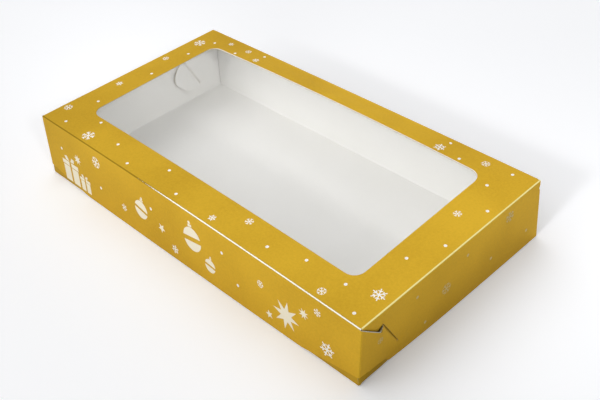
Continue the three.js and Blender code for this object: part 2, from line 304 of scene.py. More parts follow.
# Dried dispersion glue: a thin milky line, streaky where the roller laid it
def driedGlue():
    v = glueValues
    material, tree, surface, place = newMaterial("dried_dispersion_glue")
    streak = addNode(tree, "ShaderNodeTexNoise", {"Scale": blotScale(v["streak"]), "Detail": 3.0},
                     {"Vector": place})
    thin, thick = v["cover"] - v["coverSpread"], v["cover"] + v["coverSpread"]
    cover = addNode(tree, "ShaderNodeMapRange", {"To Min": thin, "To Max": thick},
                    {"Value": streak.outputs["Fac"]})
    clear = addNode(tree, "ShaderNodeBsdfTransparent", {"Color": linear("#FFFFFF")})
    resin = addNode(tree, "ShaderNodeBsdfPrincipled",
                    {"Base Color": linear(v["resin"]), "Roughness": v["roughness"]})
    mixed = addNode(tree, "ShaderNodeMixShader", None,
                    {0: cover.outputs[0], 1: clear.outputs[0], 2: resin.outputs[0]})
    tree.links.new(mixed.outputs[0], surface)
    return material


# The thin tone is painted shade: the same white snow print, made a darker cream for the end skirts and flaps
inkValues = {
    "white": "#FFFDF6", "cream": "#FCF3DA", "thin": "#DCC98E", "roughness": 0.55,
    "speck": 0.5, "speckFrom": 0.3, "speckTo": 0.45, "speckCover": 0.85,
}


# Opaque screen ink over the gold: flat and matt, with pinholes of the ink below
def opaqueInk(name, tone):
    v = inkValues
    material, tree, surface, place = newMaterial(name)
    speck = addNode(tree, "ShaderNodeTexNoise",
                    {"Scale": blotScale(v["speck"]), "Detail": 3.0, "Roughness": 0.7}, {"Vector": place})
    cover = addNode(tree, "ShaderNodeMapRange",
                    {"From Min": v["speckFrom"], "From Max": v["speckTo"], "To Min": v["speckCover"]},
                    {"Value": speck.outputs["Fac"]})
    colour = addNode(tree, "ShaderNodeMix", {6: linear(goldValues["bright"]), 7: linear(v[tone])},
                     {"Factor": cover.outputs[0]}, data_type="RGBA")
    shader = addNode(tree, "ShaderNodeBsdfPrincipled", {"Roughness": v["roughness"]},
                     {"Base Color": colour.outputs[2]})
    tree.links.new(shader.outputs[0], surface)
    return material


boardLayers = [goldPrint(), whiteBoard(), rawEdge()]
filmLook = clearFilm()
glueLook = driedGlue()
snowInk = opaqueInk("white_screen_ink", "white")
creamInk = opaqueInk("cream_screen_ink", "cream")
shadedSnowInk = opaqueInk("shaded_snow_ink", "thin")
print("materials:", len(bpy.data.materials))


# How the hand-folded board gives: at the foot of the walls, over the middle of the lid, as a twist
# that lifts its left front and right rear corners, and as a skew of its left end
slack = {
    "frontFlare": 2.3 * mm, "frontBow": 0.6 * mm, "rearFlare": 2.5 * mm,
    "pinch": 2.6 * mm, "pinchFrom": 25 * mm, "pinchFade": 40 * mm,
    "frontArch": 1.8 * mm, "windowArch": 3.8 * mm, "archPeak": 0.88, "hingeArch": 0.65 * mm,
    "twist": 0.84 * mm, "skew": 2.1 * mm,
    "trayFront": 2.6 * mm, "trayBack": 6.5 * mm, "trayPinch": 1.1 * mm, "trayPinchBack": 6.0 * mm,
    "splay": 1.0 * mm, "splayLow": 5 * mm, "splayHigh": 9 * mm, "splayFrom": -70 * mm, "splayTo": -48 * mm,
}
foldRadius = 1.0 * mm
foldSteps = 6
foldArc = foldRadius * math.pi / 2
sharpFold = math.radians(40)


# 0 at the top creases, 1 at the table
def lowness(spot):
    return min(max(1 - spot.z / (lidTop - foldRadius), 0), 1)


def between(a, b, t):
    return a + (b - a) * t


# 0 at the front, 1 at the hinge
def depthOf(spot):
    return (spot.y - lidFront) / (hingeLine - lidFront)


def skewOf(spot):
    return slack["skew"] * (1 - spot.x / lidFlap) / 2 * (1 - depthOf(spot)) * (1 - lowness(spot))


def lidSlack(spot):
    s = slack
    low, depth = lowness(spot), depthOf(spot)
    along = spot.x / lidFlap
    arch = max(1 - along ** 2, 0)
    flare = s["frontFlare"] + s["frontBow"] * arch if spot.y < 0 else s["rearFlare"]
    pinch = s["pinch"] * along * math.exp(-max(spot.y - lidFront - s["pinchFrom"], 0) / s["pinchFade"])
    if depth < s["archPeak"]:
        rise = between(s["frontArch"], s["windowArch"], smoothStep(depth / s["archPeak"]))
    else:
        rise = between(s["hingeArch"], s["windowArch"], smoothStep((1 - depth) / (1 - s["archPeak"])))
    lift = rise * arch + s["twist"] * (1 + along * spot.y / hingeLine)
    return spot + Vector((-pinch * low, flare * low * spot.y / hingeLine + skewOf(spot), lift * (1 - low)))


def traySlack(spot):
    s = slack
    low, depth = lowness(spot), depthOf(spot)
    along = spot.x / trayEnd
    lean = between(s["trayFront"], s["trayBack"], depth)
    pinch = between(s["trayPinch"], s["trayPinchBack"] if along < 0 else s["trayPinch"], depth)
    foot = 1 - smoothStep((spot.z - s["splayLow"]) / (s["splayHigh"] - s["splayLow"]))
    foot *= 1 - smoothStep((spot.y - s["splayFrom"]) / (s["splayTo"] - s["splayFrom"]))
    aside = (s["splay"] * foot - pinch * low) * along
    return spot + Vector((aside, skewOf(spot) - lean * low, 0))


# Where a point of the flat blank lies once its fold is made: u along the crease, h on from the
# start of the fold, and lift out of the printed face
def foldPlace(corner, along, inward, rise, slacken):
    def place(u, h, lift):
        turn = min(max(h, 0), foldArc) / foldRadius
        outward = -rise * math.cos(turn) - inward * math.sin(turn)
        spot = corner + along * u + (inward + rise) * foldRadius + outward * (foldRadius + lift)
        return slacken(spot + rise * max(h - foldArc, 0))
    return place


def onWall(up):
    return up - foldRadius + foldArc


def lidPlace(x, y, lift):
    return lidSlack(Vector((x, y, lidTop + lift)))


def floorPlace(x, y, lift):
    return traySlack(Vector((x, y, -lift)))


def evenly(start, end, step):
    count = max(round((end - start) / step), 1)
    return [start + (end - start) * i / count for i in range(1, count)]


foldCuts = [foldArc * i / foldSteps for i in range(foldSteps + 1)]


def rectangle(left, front, right, back):
    return [(left, front), (right, front), (right, back), (left, back)]


cornerSteps = 8


# Corner by corner: front right, back right, back left, front left
def roundedRectangle(left, front, right, back, radius):
    points = []
    corners = [(right - radius, front + radius), (right - radius, back - radius),
               (left + radius, back - radius), (left + radius, front + radius)]
    for turn, (x, y) in enumerate(corners):
        for i in range(cornerSteps + 1):
            angle = math.pi / 2 * (turn - 1 + i / cornerSteps)
            points.append((x + radius * math.cos(angle), y + radius * math.sin(angle)))
    return points


# A flat blank cut to its outline, scored across, given its thickness, and then folded into place
def foldedSheet(outlines, place, cuts, thickness, lift=0.0, wearAndLight=None):
    bm = bmesh.new()
    wornAndLit = bm.verts.layers.float.new("wearAndLight")
    for outline in outlines:
        loop = [bm.verts.new((u, h, lift)) for u, h in outline]
        for pair in zip(loop, loop[1:] + loop[:1]):
            bm.edges.new(pair)
    bmesh.ops.triangle_fill(bm, use_beauty=True, edges=bm.edges[:])
    for spot, way in cuts:
        bmesh.ops.bisect_plane(bm, geom=bm.verts[:] + bm.edges[:] + bm.faces[:], dist=1e-8,
                               plane_co=(spot[0], spot[1], 0), plane_no=(way[0], way[1], 0))
    printed = set(bm.faces)
    grown = bmesh.ops.extrude_face_region(bm, geom=bm.faces[:])["geom"]
    plain = {part for part in grown if isinstance(part, bmesh.types.BMFace)}
    lower = [part for part in grown if isinstance(part, bmesh.types.BMVert)]
    bmesh.ops.translate(bm, verts=lower, vec=(0, 0, -thickness))
    for face in bm.faces:
        face.smooth = True
        face.material_index = 0 if face in printed else 1 if face in plain else 2
    for vert in bm.verts:
        u, h, height = vert.co
        if wearAndLight:
            vert[wornAndLit] = wearAndLight(u, h)
        vert.co = place(u, h, height)
    bmesh.ops.recalc_face_normals(bm, faces=bm.faces[:])
    return bm


def straightCuts(uPlaces, hPlaces):
    return [((u, 0), (1, 0)) for u in uPlaces] + [((0, h), (0, 1)) for h in hPlaces]


def finishPiece(bm, name, materials, body, nodes):
    mesh = bpy.data.meshes.new(name)
    bm.to_mesh(mesh)
    bm.free()
    mesh.set_sharp_from_angle(angle=sharpFold)
    for material in materials:
        mesh.materials.append(material)
    piece = bpy.data.objects.new(name, mesh)
    bpy.context.scene.collection.objects.link(piece)
    if body:
        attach(piece, body)
    if nodes:
        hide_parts(*nodes)
    return piece


def boardPiece(name, body, outlines, place, cuts, wearAndLight=None):
    bm = foldedSheet(outlines, place, cuts, board, wearAndLight=wearAndLight)
    finishPiece(bm, name + "_board", boardLayers, body, [name])


# How worn the ink is on each part, with the painted shade and painted highlight that the same numbers give
wearAndLightShares = {
    "trayWalls": 0.12, "trayEnds": 0.16, "trayFlaps": 0.18, "hinge": 0.1,
    "lidEnds": -1, "lidFlaps": 0.1, "flapEdges": 1.0, "frontLeft": 0.3, "frontRight": 0.95,
}


# Strongest along the ridge of a fold, 0 on the flat either side: a little above 0 the ink is painted
# darker as shade, near 1 it has cracked, and below 0 a pale painted highlight runs along the ridge
def foldWearAndLight(share):
    return lambda u, h: share * math.sin(math.pi * min(max(h / foldArc, 0), 1))


# The outside of the tray is painted a little darker all over: painted shade for where it shows under the lid's
# skirts
def underLidShade(share):
    return lambda u, h: share


# Corner locks: (out, up) in millimetres from the corner along the end, and from the crease
lockShape = {
    "relief": 1.2, "flapDepth": 42.6, "flapReach": 60, "curveSteps": 28,
    "diveFrom": -1.6, "diveTo": 1.2, "diveSteps": 8, "underLong": -1.4, "openLong": 0.5,
    "endRoom": 0.5, "lift": 0.35, "liftReach": 9, "liftFade": 7, "springFrom": 3, "springTo": 15,
    "curl": 0.6, "curlReach": 3.5, "curlCuts": (1.5, 3), "rim": 0.3, "rimFade": 0.25,
    "step": 3, "panelStep": 8, "slitSteps": (4, 20),
}
lidLock = {
    "shoulder": (16.6, 14.7), "apex": (20.5, 12.2), "farEnd": (34.7, 37.3), "heel": (24, 45.4),
    "hook": (-14, 4), "tip": (-4, 30), "underShort": -1.4, "openShort": 1.5, "spring": 0.0,
}
trayLock = {
    "shoulder": (20, 15), "apex": (24.5, 11.5), "farEnd": (41, 38.5), "heel": (27, 45.4),
    "hook": (-10, 5), "tip": (5, 37), "underShort": -0.15, "openShort": 0.1, "spring": 1.7,
}


def legSide(way):
    return Vector((way.y, -way.x))


for lock in (lidLock, trayLock):
    lock.update({name: Vector(lock[name]) for name in ("shoulder", "apex", "farEnd")})
    lock["shortWay"] = (lock["apex"] - lock["shoulder"]).normalized()
    lock["longWay"] = (lock["farEnd"] - lock["apex"]).normalized()
    lock["shortSide"] = legSide(lock["shortWay"])
    lock["longSide"] = legSide(lock["longWay"])


def legDistance(point, start, end):
    run = end - start
    share = min(max((point - start).dot(run) / run.length_squared, 0), 1)
    return (point - start - run * share).length


# Millimetres past the bent slit: positive on the tongue's side of it
def pastSlit(lock, point):
    shoulder, apex, farEnd = lock["shoulder"], lock["apex"], lock["farEnd"]
    nearest = min(legDistance(point, shoulder, apex), legDistance(point, apex, farEnd))
    beyondLong = (point - apex).dot(lock["longSide"]) > 0
    beyondShort = (point - shoulder).dot(lock["shortSide"]) > 0 and point.x > shoulder.x - 0.01
    return nearest if beyondLong or beyondShort else -nearest


# The apex moved out from both legs at once
def apexAside(lock, fromShort, fromLong):
    lean = lock["shortSide"].dot(lock["longSide"])
    a = (fromShort - lean * fromLong) / (1 - lean * lean)
    b = (fromLong - lean * fromShort) / (1 - lean * lean)
    return lock["apex"] + lock["shortSide"] * a + lock["longSide"] * b


def slitHole(lock):
    v = lockShape
    start = lock["shoulder"] - lock["shortWay"] * v["endRoom"]
    end = lock["farEnd"] + lock["longWay"] * v["endRoom"]
    return [
        start + lock["shortSide"] * lock["openShort"], apexAside(lock, lock["openShort"], v["openLong"]),
        end + lock["longSide"] * v["openLong"], end + lock["longSide"] * v["underLong"],
        apexAside(lock, lock["underShort"], v["underLong"]), start + lock["shortSide"] * lock["underShort"],
    ]


# The end panel bulges a little over the tongue behind it
def bulge(lock, point):
    v = lockShape
    past = pastSlit(lock, point)
    if past <= 0:
        return 0.0
    nearEnd = min((point - lock["shoulder"]).length, (point - lock["farEnd"]).length) / v["liftFade"]
    return v["lift"] * math.exp(-(past / v["liftReach"]) ** 2) * smoothStep(nearEnd)


# The tongue dips under the end panel along the long leg of the slit, and springs off it beyond
def dive(lock, point):
    v = lockShape
    past = (point - lock["apex"]).dot(lock["longSide"])
    spring = lock["spring"] * mm * smoothStep((past - v["springFrom"]) / (v["springTo"] - v["springFrom"]))
    return layerStep * 2 * smoothStep((past - v["diveFrom"]) / (v["diveTo"] - v["diveFrom"])) + spring


# Millimetres from the flap's sloping edge
def fromSlope(lock, point):
    return legDistance(point, Vector((foldRadius / mm, lockShape["relief"])), lock["shoulder"])


# A flap: its sloping edge curls out a little, and the ink along that edge has broken away
def lockFlap(name, body, lock, corner, along, inward, rise, slacken, wearAndLight, broken=0.0):
    v = lockShape
    place = foldPlace(corner, along, inward, rise, slacken)
    apex, farEnd = lock["apex"], lock["farEnd"]
    hook = apex + lock["longWay"] * lock["hook"][0] + lock["longSide"] * lock["hook"][1]
    tip = farEnd + lock["longWay"] * lock["tip"][0] + lock["longSide"] * lock["tip"][1]
    tongue = interpolate_bezier(apex.to_3d(), hook.to_3d(), tip.to_3d(), farEnd.to_3d(), v["curveSteps"])
    edge = [lock["shoulder"]] + [p.to_2d() for p in tongue]
    edge += [lock["heel"], (foldRadius / mm, v["flapDepth"])]
    outline = [(v["flapDepth"] * mm, 0), (v["relief"] * mm, 0), (v["relief"] * mm, foldArc)]
    outline += [(up * mm, onWall(out * mm)) for out, up in edge]

    def onFlap(u, h):
        return Vector(((h - foldArc + foldRadius) / mm, u / mm))

    def flapPlace(u, h, lift):
        if h <= foldArc:
            return place(u, h, lift)
        point = onFlap(u, h)
        curl = v["curl"] * mm * math.exp(-(fromSlope(lock, point) / v["curlReach"]) ** 2)
        return place(u, h, lift + curl * smoothStep(point.x / lock["shoulder"].x) - dive(lock, point))

    # The flap's marks: painted shade from its fold or from the tray's outside, and broken ink along its sloping
    # edge
    def flapWearAndShade(u, h):
        rim = 1 - (fromSlope(lock, onFlap(u, h)) - v["rim"]) / v["rimFade"]
        return max(wearAndLight(u, h), broken * min(rim, 1)) if h > foldArc else wearAndLight(u, h)

    step = v["step"] * mm
    slope = (lock["shoulder"] - Vector((foldRadius / mm, v["relief"]))).normalized()
    cuts = straightCuts(evenly(0, lidTop, step), foldCuts + evenly(foldArc, v["flapReach"] * mm, step))
    for i in range(v["diveSteps"] + 1):
        aside = apex + lock["longSide"] * between(v["diveFrom"], v["diveTo"], i / v["diveSteps"])
        cuts.append(((aside.y * mm, onWall(aside.x * mm)), (lock["longSide"].y, lock["longSide"].x)))
    for inset in (v["rim"], v["rim"] + v["rimFade"], *v["curlCuts"]):
        inside = lock["shoulder"] + Vector((-slope.y, slope.x)) * inset
        cuts.append(((inside.y * mm, onWall(inside.x * mm)), (slope.x, -slope.y)))
    boardPiece(name, body, [outline], flapPlace, cuts, flapWearAndShade)
    return flapPlace


# An end panel with slits: corners lists the places where out starts, and the way it runs along the panel
def slitPanel(name, body, lock, outline, place, corners, wearAndLight):
    v = lockShape
    holes = [[(start + way * p.x * mm, onWall(p.y * mm)) for p in slitHole(lock)] for start, way in corners]

    def panelPlace(u, h, lift):
        for start, way in corners:
            point = Vector(((u - start) * way / mm, (h - foldArc + foldRadius) / mm))
            lift += bulge(lock, point) * mm
        return place(u, h, lift)

    step = v["step"] * mm
    us = evenly(lidFront, hingeLine, v["panelStep"] * mm)
    for start, way in corners:
        us += [start + way * i * step for i in range(*v["slitSteps"])]
    boardPiece(name, body, [outline, *holes], panelPlace,
               straightCuts(us, foldCuts + evenly(foldArc, lidTop, step)), wearAndLight)


# Tray: the floor and the walls that fold up from it
gridStep = 10 * mm
floorEnd = trayEnd - foldRadius
trayWallEnd = trayFlap - foldRadius
boardPiece("base_panel", "base_tray",
           [rectangle(-floorEnd, trayFront + foldRadius, floorEnd, hingeLine - foldRadius)], floorPlace,
           straightCuts(evenly(-floorEnd, floorEnd, gridStep), evenly(trayFront, hingeLine, gridStep)))

trayCuts = straightCuts(evenly(-trayWallEnd, trayWallEnd, gridStep),
                        foldCuts + evenly(foldArc, wallTop, gridStep))
boardPiece("front_wall", "base_tray", [rectangle(-trayWallEnd, 0, trayWallEnd, onWall(wallTop))],
           foldPlace(Vector((0, trayFront, 0)), acrossX, acrossY, upZ, traySlack), trayCuts,
           underLidShade(wearAndLightShares["trayWalls"]))
boardPiece("back_wall", "base_tray", [rectangle(-trayWallEnd, 0, trayWallEnd, onWall(lidTop - foldRadius))],
           foldPlace(Vector((0, hingeLine, 0)), acrossX, -acrossY, upZ, traySlack), trayCuts,
           underLidShade(wearAndLightShares["trayWalls"]))

for side, way in (("right", 1), ("left", -1)):
    inward = -acrossX * way
    front, back = trayFront + foldRadius, hingeLine - foldRadius
    slitPanel(side + "_end_wall", "base_tray", trayLock, rectangle(front, 0, back, onWall(wallTop)),
              foldPlace(acrossX * way * trayEnd, acrossY, inward, upZ, traySlack),
              [(trayFront, 1), (hingeLine, -1)], underLidShade(wearAndLightShares["trayEnds"]))
    for end, y, rise in (("front", trayFront, acrossY), ("back", hingeLine, -acrossY)):
        lockFlap(f"{end}_{side}_corner_flap", "base_tray", trayLock, Vector((way * trayFlap, y, 0)),
                 upZ, inward, rise, traySlack, underLidShade(wearAndLightShares["trayFlaps"]))
print("tray folded")


# Lid: the window frame and the skirts that fold down from it
lidValues = {
    "cornerCutLength": 50 * mm, "cornerCutRise": 7.4 * mm,
    "notchLength": 24 * mm, "notchRise": 5 * mm, "notchSlope": 4 * mm,
    "nickUp": 4 * mm, "nickTall": 5 * mm, "nickDeep": 1.0 * mm, "creaseGap": 1.1 * mm,
    "skirtStep": 6 * mm, "crackAndGlintFrom": -66 * mm, "crackAndGlintTo": 14 * mm,
    "filmLap": 9 * mm, "windowCorner": 9 * mm, "rightTurn": (1.8 * mm, -1.0 * mm),
    "frontLeftIn": (2.2 * mm, 1.2 * mm), "frontLeftFade": (2, 6),
    "backIn": (1.5 * mm, 0.3 * mm), "backFade": 2, "backRightIn": 1.6 * mm, "backRightFade": 8,
}
filmLow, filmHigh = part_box("window_film")
lap = lidValues["filmLap"]
windowEdges = (filmLow.x + lap, filmLow.y + lap, filmHigh.x - lap, filmHigh.y - lap)


# The cut-out is a little out of square: its back edge and two of its corners lie further in, and its
# right edge is turned
def windowRing(grow):
    v = lidValues
    left, front, right, back = windowEdges
    ring = []
    square = roundedRectangle(left - grow, front - grow, right + grow, back + grow,
                              v["windowCorner"] + grow)
    for x, y in square:
        across, depth = (right - x) / (right - left), (y - front) / (back - front)
        corner = max(across, 0) ** v["frontLeftFade"][0] * max(1 - depth, 0) ** v["frontLeftFade"][1]
        backIn = between(v["backIn"][1], v["backIn"][0], across)
        backIn += v["backRightIn"] * max(1 - across, 0) ** v["backRightFade"]
        aside = v["frontLeftIn"][0] * corner + between(*v["rightTurn"], depth) * max(1 - across, 0)
        ring.append((x + aside, y + v["frontLeftIn"][1] * corner - backIn * max(depth, 0) ** v["backFade"]))
    return ring


lidPanelEnd = lidEnd - foldRadius
lidOutline = rectangle(-lidPanelEnd, lidFront + foldRadius, lidPanelEnd, hingeLine - foldRadius)
boardPiece("lid_panel", "lid", [lidOutline, windowRing(0)], lidPlace,
           straightCuts(evenly(-lidPanelEnd, lidPanelEnd, gridStep),
                        evenly(lidFront + foldRadius, hingeLine, gridStep / 2)))


# Along the front crease the ink is painted dark at the left, as the fold's dark reflection, and has cracked
# more and more towards the right, where the white of the cracks also stands in for the fold's highlight
def frontCreaseWearAndLight(u, h):
    v = lidValues
    share = smoothStep((u - v["crackAndGlintFrom"]) / (v["crackAndGlintTo"] - v["crackAndGlintFrom"]))
    return foldWearAndLight(between(wearAndLightShares["frontLeft"], wearAndLightShares["frontRight"], share))(u, h)


skirtEnd = lidFlap - foldRadius
skirtStep = lidValues["skirtStep"]
cutUp = onWall(skirtDepth - lidValues["cornerCutRise"])
cutIn = skirtEnd - lidValues["cornerCutLength"]
frontOutline = [(-skirtEnd, 0), (skirtEnd, 0), (skirtEnd, cutUp), (cutIn, onWall(skirtDepth)),
                (-cutIn, onWall(skirtDepth)), (-skirtEnd, cutUp)]
frontPlace = foldPlace(Vector((0, lidFront, lidTop)), acrossX, acrossY, -upZ, lidSlack)
boardPiece("lid_front_skirt", "lid", [frontOutline], frontPlace,
           straightCuts(evenly(-skirtEnd, skirtEnd, skirtStep),
                        foldCuts + evenly(foldArc, skirtDepth, skirtStep)), frontCreaseWearAndLight)

endPlaces, flapPlaces = {}, {}
for side, way in (("right", 1), ("left", -1)):
    v = lidValues
    inward = -acrossX * way
    front = lidFront + v["creaseGap"]
    foot = onWall(skirtDepth)
    endOutline = [
        (front, 0), (skirtRear, 0), (skirtRear, onWall(v["nickUp"])),
        (skirtRear - v["nickDeep"], onWall(v["nickUp"] + v["nickTall"] / 2)),
        (skirtRear, onWall(v["nickUp"] + v["nickTall"])), (skirtRear, foot),
        (lidFront + v["notchLength"] + v["notchSlope"], foot),
        (lidFront + v["notchLength"], foot - v["notchRise"]), (front, foot - v["notchRise"]),
    ]
    endPlaces[side] = foldPlace(Vector((way * lidEnd, 0, lidTop)), acrossY, inward, -upZ, lidSlack)
    slitPanel(f"lid_{side}_skirt", "lid", lidLock, endOutline, endPlaces[side], [(lidFront, 1)],
              foldWearAndLight(wearAndLightShares["lidEnds"]))
    flapPlaces[side] = lockFlap(f"lid_{side}_corner_flap", "lid", lidLock,
                                Vector((way * lidFlap, lidFront, lidTop)), -upZ, inward, acrossY, lidSlack,
                                foldWearAndLight(wearAndLightShares["lidFlaps"]), broken=wearAndLightShares["flapEdges"])
print("lid folded")


# The crease that carries the lid bends between the tray and the lid
hingePlace = foldPlace(Vector((0, hingeLine, lidTop)), acrossX, -acrossY, -upZ, lidSlack)
hingeStrip = foldedSheet([rectangle(-trayWallEnd, 0, trayWallEnd, foldArc)], hingePlace,
                         straightCuts(evenly(-trayWallEnd, trayWallEnd, gridStep), foldCuts), board,
                         wearAndLight=foldWearAndLight(wearAndLightShares["hinge"]))
hingePiece = finishPiece(hingeStrip, "hinge_crease_board", boardLayers, None, [])
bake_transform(hingePiece)


# The raw cut shows as a thin white rim along the window's back edge, tapered round both corners
rimShape = {"width": 0.8 * mm, "above": 0.03 * mm, "taper": 7}
backCorners = slice(cornerSteps + 1, 3 * (cornerSteps + 1))
cutLine = windowRing(0)[backCorners]
rimLine = []
for i, (cut, past) in enumerate(zip(cutLine, windowRing(rimShape["width"])[backCorners])):
    fromEnd = min(i, len(cutLine) - 1 - i)
    rimLine.append(Vector(cut).lerp(Vector(past), smoothStep(fromEnd / rimShape["taper"])).to_tuple())
rimCuts = straightCuts(evenly(-lidPanelEnd, lidPanelEnd, gridStep), [])
rimBm = foldedSheet([cutLine + rimLine[-2:0:-1]], lidPlace, rimCuts, board / 2, rimShape["above"])
finishPiece(rimBm, "window_cut_rim", [boardLayers[1]] * 3, "lid", [])


# Window film, stuck under the frame and a little slack between
filmShape = {
    "sag": 0.5 * mm, "sagReach": 6 * mm, "step": 6 * mm,
    "wave": 0.12 * mm, "waveLength": 95 * mm, "waveSlant": 0.6, "waveReach": 24 * mm,
}


def filmPlace(x, y, lift):
    v = filmShape
    left, front, right, back = windowEdges
    inside = min(x - left, right - x, y - front, back - y)
    drop = v["sag"] * smoothStep(inside / v["sagReach"])
    ripple = math.sin((x + v["waveSlant"] * y) * 2 * math.pi / v["waveLength"])
    ripple *= math.sin(y * math.pi / (back - front))
    drop += v["wave"] * ripple * smoothStep(inside / v["waveReach"])
    return lidSlack(Vector((x, y, filmHigh.z - drop + lift)))


filmCuts = straightCuts(evenly(filmLow.x, filmHigh.x, filmShape["step"]),
                        evenly(filmLow.y, filmHigh.y, filmShape["step"] / 2))
filmBm = foldedSheet([rectangle(filmLow.x, filmLow.y, filmHigh.x, filmHigh.y)], filmPlace, filmCuts,
                     filmHigh.z - filmLow.z)
finishPiece(filmBm, "window_film_sheet", [filmLook] * 3, "lid", ["window_film"])

# The glue line, inside the film's lap
glueMargin = 2 * mm
glueLow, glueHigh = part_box("window_glue")
glueBm = foldedSheet([windowRing(lap - glueMargin), windowRing(glueMargin)],
                     lambda x, y, lift: lidSlack(Vector((x, y, glueHigh.z + lift))),
                     straightCuts(evenly(glueLow.x, glueHigh.x, gridStep),
                                  evenly(glueLow.y, glueHigh.y, gridStep / 2)), glueHigh.z - glueLow.z)
finishPiece(glueBm, "window_glue_line", [glueLook] * 3, "lid", ["window_glue"])
print("window set")


# Print: outlines in millimetres about their own middle, laid on a panel as a thin film of ink
inkFilm = {"above": 0.03 * mm, "below": 0.02 * mm, "dot": 1.2, "turn": 0.37}


def turned(points, angle, size, x, y):
    c, s = math.cos(angle) * size, math.sin(angle) * size
    return [(x + px * c - py * s, y + px * s + py * c) for px, py in points]


# A six-armed flake: each arm is a stem with slanting twigs, as (place along the arm, length)
def snowflake(stem, twigs):
    side = [(math.sqrt(3) * stem, -stem)]
    wide = 2 * stem / math.sin(math.pi / 3)
    for start, length in twigs:
        tipX, tipY = start + length / 2, -stem - length * math.sin(math.pi / 3)
        side += [(start, -stem), (tipX, tipY), (tipX + wide, tipY), (start + wide, -stem)]
    side.append((1, -stem))
    arm = side + [(x, -y) for x, y in reversed(side[1:])]
    return [point for i in range(6) for point in turned(arm, math.pi / 3 * i, 1, 0, 0)]


flakeKinds = [
    snowflake(0.07, [(0.6, 0.34)]),
    snowflake(0.065, [(0.42, 0.16), (0.7, 0.26)]),
    snowflake(0.075, [(0.46, 0.24)]),
]


def arc(start, end, steps):
    angles = [between(start, end, i / steps) for i in range(steps + 1)]
    return [(math.cos(a), math.sin(a)) for a in angles]


dot = arc(0, 2 * math.pi, 16)[:-1]


# Each flake is of the next kind and turned a little further than the last
def flakeOutlines(flakes, dots):
    made = []
    for i, (x, y, size) in enumerate(flakes):
        made.append(turned(flakeKinds[i % len(flakeKinds)], inkFilm["turn"] * i, size, x, y))
    return made + [turned(dot, 0, inkFilm["dot"], x, y) for x, y in dots]


def printPiece(name, outlines, place, ink, body):
    scaled = [[(x * mm, y * mm) for x, y in outline] for outline in outlines]
    bm = foldedSheet(scaled, place, [], inkFilm["above"] + inkFilm["below"], inkFilm["above"])
    finishPiece(bm, name, [ink] * 3, body, [])


# Flakes are (x, y, half size), dots are (x, y)
lidSnow = {
    "flakes": [
        (-165, -70, 3.6), (-118, -83, 5.2), (-162, -21, 3.2), (-164, 30, 2.8), (-161, 66, 5.0),
        (-137, 82, 2.8), (-115, 82, 2.8), (-98, 75, 2.9), (97, 75, 4.5), (133, 81, 3.2), (151, 26, 3.0),
        (161, -63, 5.2), (133, -84, 3.2), (52, -70, 3.1), (30, -84, 3.1),
    ],
    "dots": [
        (-149, -83), (-153, -49), (-125, -66), (-90, -75), (-65, -85), (-153, 6), (-34, -70), (-9, -84),
        (-154, 47), (-150, 74), (-121, 72), (-98, 85), (79, -79), (107, -71), (140, -70), (160, -84),
        (153, -28), (164, -3), (164, 41), (148, 62), (154, 83), (83, 88), (99, 85), (116, 73),
    ],
}
printPiece("lid_snow_print", flakeOutlines(lidSnow["flakes"], lidSnow["dots"]), lidPlace, snowInk, "lid")


# On a skirt the second number is millimetres down from the top crease
def skirtPrint(place):
    return lambda u, down, lift: place(u, onWall(down), lift)


frontSnow = {
    "flakes": [
        (-100, 11.5, 4.8), (-69, 36, 3.0), (-8, 42, 3.8), (84, 20, 3.0), (136, 11, 3.0), (145, 37, 6.2),
    ],
    "dots": [(-150, 20), (-99, 33), (-33, 20), (46, 16), (61, 35)],
}
printPiece("front_snow_print", flakeOutlines(frontSnow["flakes"], frontSnow["dots"]),
           skirtPrint(frontPlace), snowInk, "lid")

endSnow = {
    "flakes": [(-10, 27, 4.4), (56, 10, 4.4)], "dots": [(-39, 13), (11, 13), (37, 34), (77, 36), (-30, 42)],
    "flapFlakes": [(23.5, 17.8, 2.6)],
}
# The end skirts and flaps take the darker ink, as painted shade over the white print
for side in endPlaces:
    printPiece(side + "_end_snow_print", flakeOutlines(endSnow["flakes"], endSnow["dots"]),
               skirtPrint(endPlaces[side]), shadedSnowInk, "lid")
    printPiece(side + "_flap_snow_print", flakeOutlines(endSnow["flapFlakes"], []),
               skirtPrint(flapPlaces[side]), shadedSnowInk, "lid")


# A plain many-pointed star
def star(points, inner):
    rims = [(1 if i % 2 == 0 else inner, math.pi * i / points) for i in range(2 * points)]
    return [[(r * math.cos(a), r * math.sin(a)) for r, a in rims]]


# A round bauble with a bare band and a cap; down is positive
def bauble(band):
    edge = math.asin(band)
    top = arc(math.pi + edge, 2 * math.pi - edge, 14)
    cap = [(-0.22, -1.24), (0.22, -1.24), (0.22, -1.04), (-0.22, -1.04)]
    return [top, arc(edge, math.pi - edge, 14), cap, turned(dot, 0, 0.14, 0, -1.4)]


# A parcel with bare ribbons and a bow
def parcel(ribbon):
    inner, lip = ribbon / 2, -0.3
    made = []
    for way in (-1, 1):
        side = [(inner, lip + 0.06), (0.92, lip + 0.06), (0.92, 1), (inner, 1)]
        cover = [(inner, lip - 0.34), (1, lip - 0.34), (1, lip), (inner, lip)]
        bow = [(0.06, lip - 0.4), (0.3, lip - 0.78), (0.62, lip - 0.7), (0.5, lip - 0.42)]
        made += [[(way * x, y) for x, y in part] for part in (side, cover, bow)]
    return made


